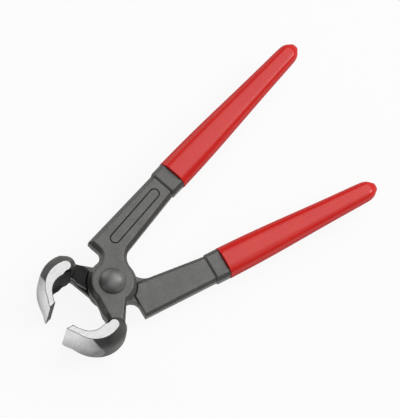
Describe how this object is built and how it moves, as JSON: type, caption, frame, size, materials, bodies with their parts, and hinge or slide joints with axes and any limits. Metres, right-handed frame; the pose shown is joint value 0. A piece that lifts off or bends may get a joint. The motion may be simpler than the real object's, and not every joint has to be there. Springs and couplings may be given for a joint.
{
  "type": "end cutting nippers",
  "caption": "Carpenter's end cutting nippers: crossed forged halves with curved wide jaws on a domed rivet, and tapering dipped red grips.",
  "frame": {"origin": "on the rivet's axis, at the flat face of its closing head", "axes": "+X from the pivot towards the handles, midway between the halves; +Z along the rivet, towards its domed head"},
  "size_m": [0.2189, 0.1032, 0.0295],
  "materials": {
    "forged_steel": "dark phosphated forging, satin, with bright ground jaws",
    "rivet_steel": "dark satin steel",
    "grip_plastic": "red dipped soft plastic, satin gloss"
  },
  "bodies": {
    "front": {"front_half": "forged_steel", "rivet": "rivet_steel", "front_grip": "grip_plastic"},
    "back": {"back_half": "forged_steel", "back_grip": "grip_plastic"}
  },
  "joints": [
    {"name": "pivot", "type": "hinge", "parent": "front", "child": "back", "pos_m": [0, 0, 0.00955], "axis": [0, 0, -1], "range_deg": [-19.5, 24.4]}
  ]
}
